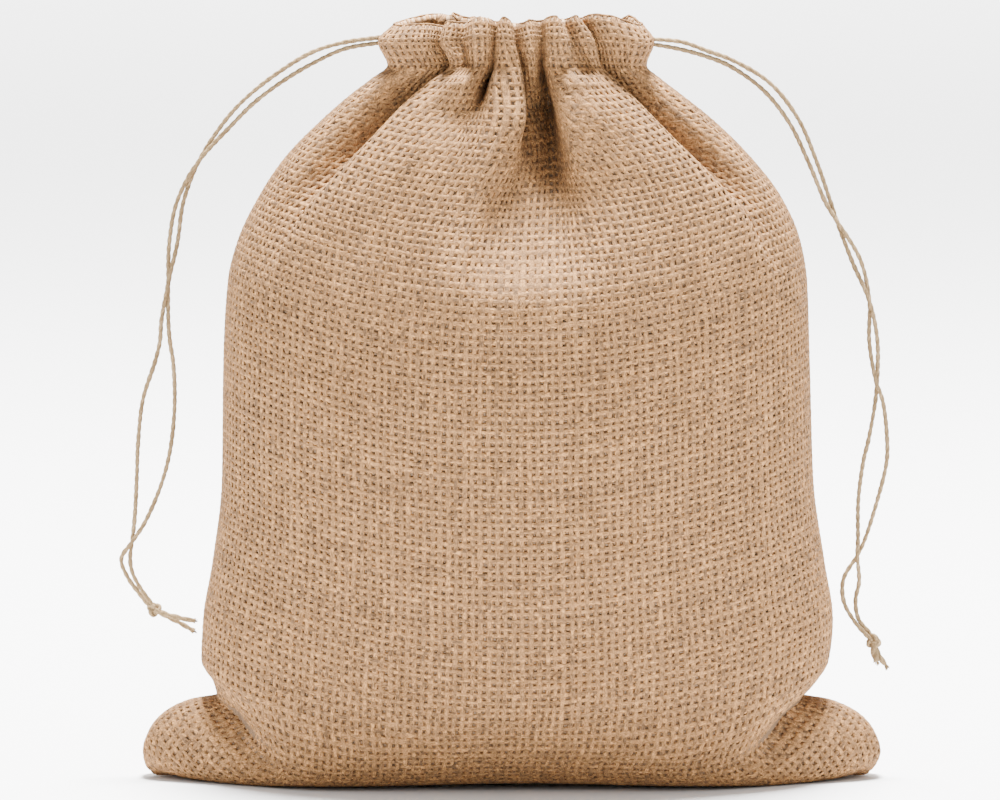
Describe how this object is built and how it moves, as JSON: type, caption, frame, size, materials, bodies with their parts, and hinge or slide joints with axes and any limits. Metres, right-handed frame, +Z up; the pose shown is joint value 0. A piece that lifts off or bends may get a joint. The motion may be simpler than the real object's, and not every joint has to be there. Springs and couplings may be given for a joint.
{
  "type": "drawstring pouch",
  "caption": "Jute drawstring pouch standing bulged on its folded bottom, neck gathered by a stitched casing, knotted thin cords hanging out at both sides.",
  "frame": {"origin": "on the ground, under the middle of the cloth's box without the cords", "axes": "+Z up, -Y towards the viewer of the picture (front panel), +X to the right in the picture"},
  "size_m": [0.2073, 0.0946, 0.2068],
  "materials": {
    "jute_cloth": "open plain weave of natural jute yarn, dull and slightly hairy",
    "jute_cord": "thin twisted jute twine, dull"
  },
  "bodies": {
    "root": {"pouch_cloth": "jute_cloth", "strand_left_upper": "jute_cord", "strand_left_lower": "jute_cord", "knot_left": "jute_cord", "strand_right_upper": "jute_cord", "strand_right_lower": "jute_cord", "knot_right": "jute_cord"}
  },
  "joints": []
}
